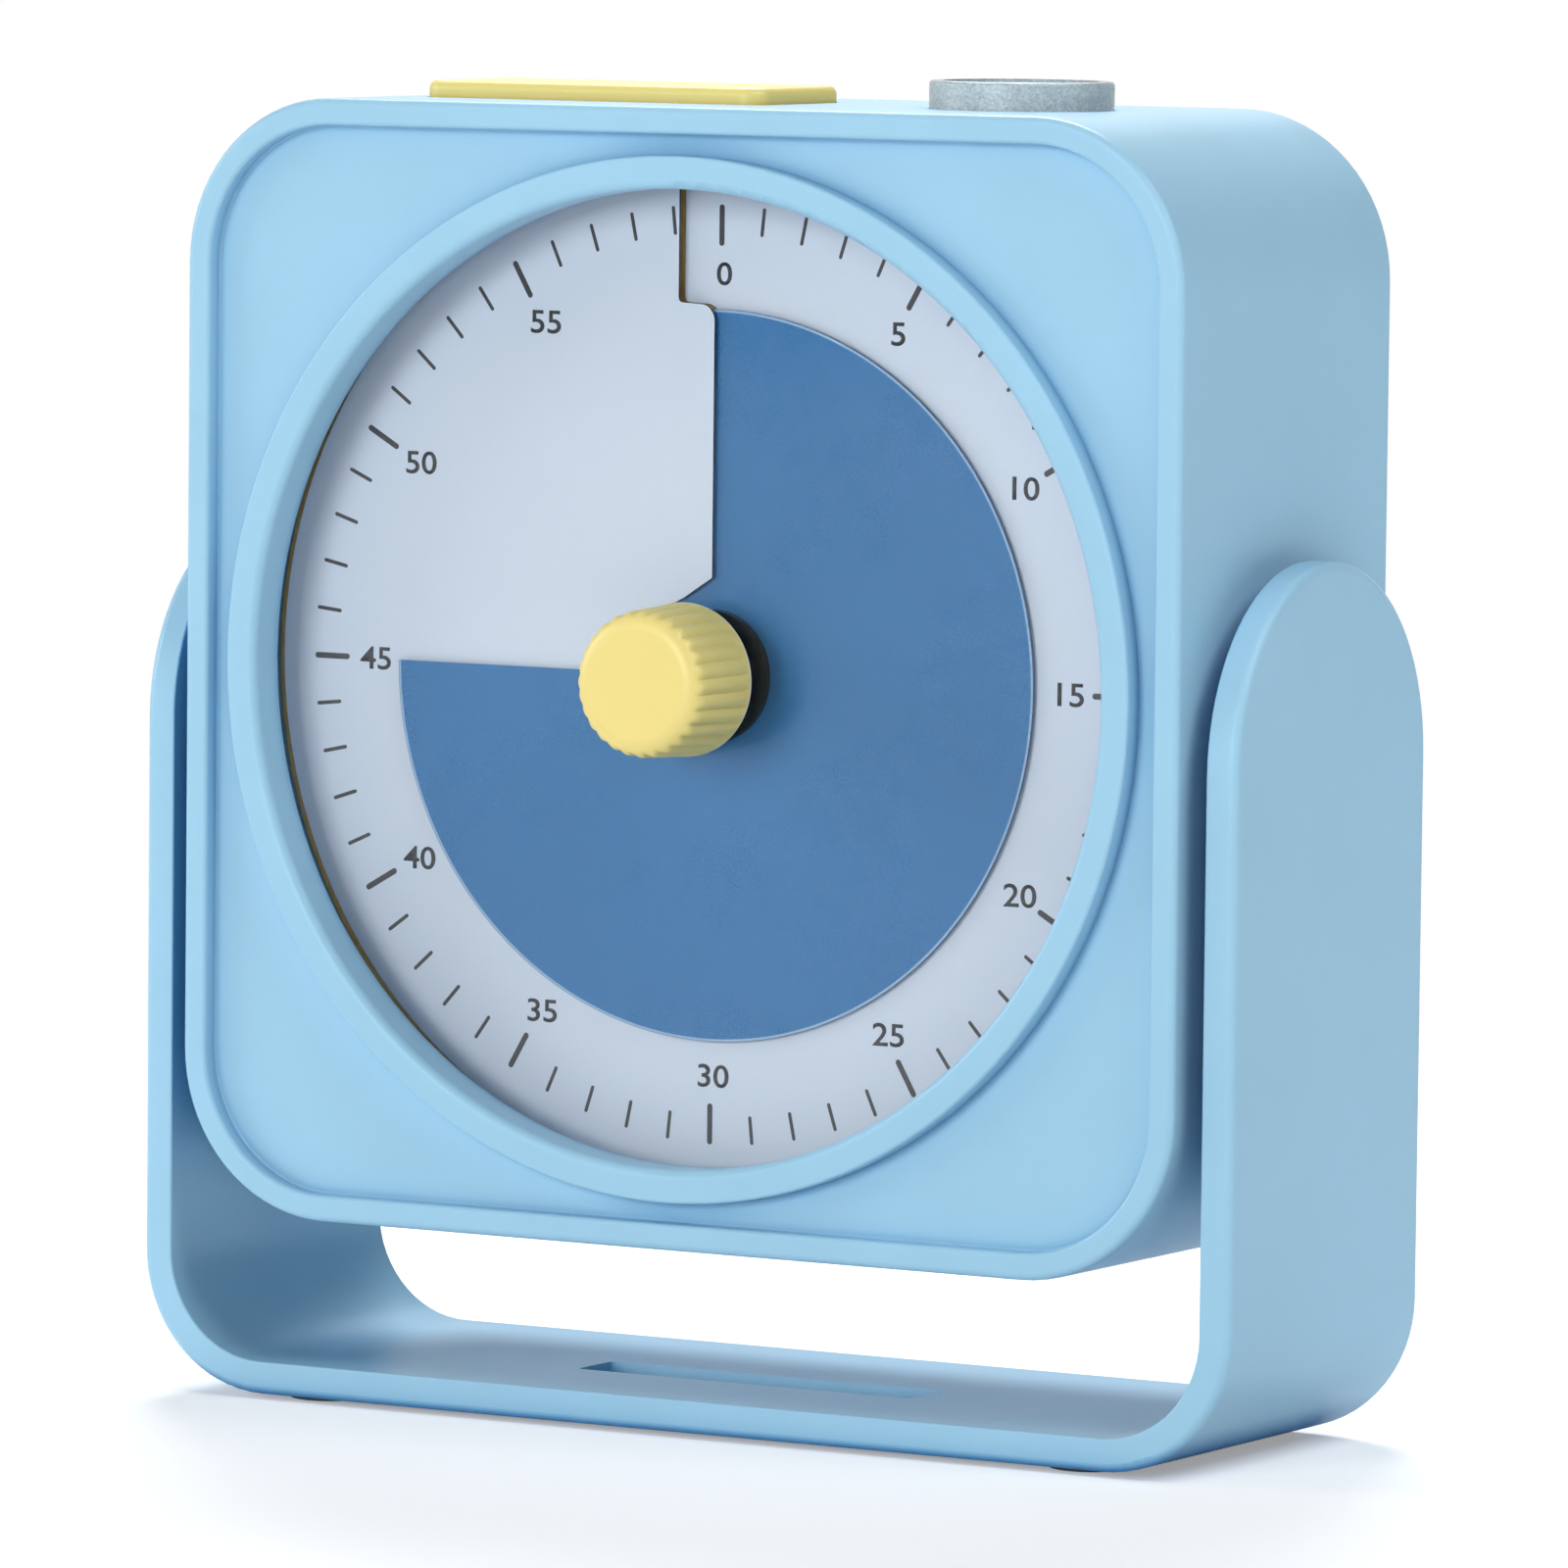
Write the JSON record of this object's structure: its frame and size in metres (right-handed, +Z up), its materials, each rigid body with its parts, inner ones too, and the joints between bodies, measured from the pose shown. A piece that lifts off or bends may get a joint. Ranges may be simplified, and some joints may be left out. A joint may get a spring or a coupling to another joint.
{
  "type": "visual countdown timer",
  "caption": "Square one-hour countdown timer on a tilting U stand: a yellow knob draws a blue sheet over a white minute dial, with a top button and a round alarm lamp.",
  "frame": {"origin": "middle of the bounding box at table height", "axes": "+X to the right seen from the front, the dial faces -Y, +Z up"},
  "size_m": [0.165, 0.0662, 0.1773],
  "materials": {
    "shell": "moulded ABS, fine satin",
    "rubber": "matt",
    "steel": "zinc-plated",
    "nylon": "natural nylon",
    "clear": "clear moulded polystyrene, gloss",
    "white_sheet": "matt printed sheet",
    "blue_sheet": "smooth sheet",
    "fibreboard": "raw brown fibreboard",
    "frosted": "frosted polycarbonate",
    "led": "epoxy",
    "circuit_board": "solder mask",
    "black": "smooth",
    "movement_white": "moulded",
    "copper": "enamelled wire",
    "iron": "soft iron",
    "brass": "stamped",
    "matt_black": "paper cone and steel frame",
    "cell": "plain wrap over steel",
    "yellow": "moulded ABS, satin"
  },
  "bodies": {
    "stand": {"stand_bracket": "shell", "rubber_feet": "rubber", "pivot_screws": "steel", "pivot_washers": "nylon", "pivot_springs": "steel"},
    "case": {"front_case": "shell", "rear_cover": "shell", "case_screws": "steel", "dial_lens": "clear", "dial_plate": "white_sheet", "dial_backing": "fibreboard", "backing_screws": "steel", "lamp_lens": "frosted", "lamp_window": "clear", "lamp_led": "led", "top_board": "circuit_board", "top_board_screws": "steel", "tact_switch": "black", "movement_base": "movement_white", "movement_cover": "movement_white", "movement_screws": "steel", "cover_screws": "steel", "coil": "copper", "stator": "iron", "speaker": "matt_black", "main_board": "circuit_board", "board_screws": "steel", "switch_body": "black", "batteries": "cell", "battery_contacts": "steel", "battery_springs": "steel"},
    "dial_knob": {"knob": "yellow", "knob_shaft": "steel", "clutch_spring": "brass", "shaft_clip": "steel"},
    "time_disc": {"blue_disc": "blue_sheet", "disc_hub": "black"},
    "centre_arbor": {"centre_wheel": "brass"},
    "third_arbor": {"third_wheel": "nylon"},
    "second_arbor": {"second_wheel": "nylon"},
    "rotor_arbor": {"rotor": "nylon"},
    "button": {"top_button": "yellow", "switch_plunger": "black"},
    "slider": {"slide_switch": "black"},
    "door": {"battery_door": "shell"}
  },
  "joints": [
    {"name": "case_tilt", "type": "hinge", "parent": "stand", "child": "case", "pos_m": [0, 0.00375, 0.0905], "axis": [1, 0, 0], "range_deg": [-140, 140]},
    {"name": "knob_turn", "type": "hinge", "parent": "case", "child": "dial_knob", "pos_m": [0, -0.02555, 0.0992], "axis": [0, 1, 0], "range_deg": [-270, 90]},
    {"name": "disc_draw", "type": "slide", "parent": "dial_knob", "child": "time_disc", "axis": [0, -1, 0], "range_m": [-0.00128, 0.00043]},
    {"name": "centre_spin", "type": "hinge", "parent": "case", "child": "centre_arbor", "pos_m": [0, -0.02555, 0.0992], "axis": [0, 1, 0], "continuous": true},
    {"name": "third_spin", "type": "hinge", "parent": "case", "child": "third_arbor", "pos_m": [0, -0.02555, 0.1244], "axis": [0, 1, 0], "continuous": true},
    {"name": "second_spin", "type": "hinge", "parent": "case", "child": "second_arbor", "pos_m": [0.018, -0.02555, 0.1244], "axis": [0, 1, 0], "continuous": true},
    {"name": "rotor_spin", "type": "hinge", "parent": "case", "child": "rotor_arbor", "pos_m": [0.0255, -0.02555, 0.11141], "axis": [0, 1, 0], "continuous": true},
    {"name": "button_press", "type": "slide", "parent": "case", "child": "button", "axis": [0, 0, -1], "range_m": [0, 0.0012], "stiffness_N_per_m": 400, "springref_m": -0.001},
    {"name": "volume_slide", "type": "slide", "parent": "case", "child": "slider", "axis": [1, 0, 0], "range_m": [-0.0025, 0.0025]},
    {"name": "door_lift", "type": "slide", "parent": "case", "child": "door", "axis": [0, 1, 0], "range_m": [0, 0.02]}
  ],
  "couplings": [
    {"joint": "disc_draw", "follows": "knob_turn", "m_per_rad": 0.00027056},
    {"joint": "third_spin", "follows": "centre_spin", "ratio": -5},
    {"joint": "second_spin", "follows": "centre_spin", "ratio": 20},
    {"joint": "rotor_spin", "follows": "centre_spin", "ratio": -80}
  ]
}
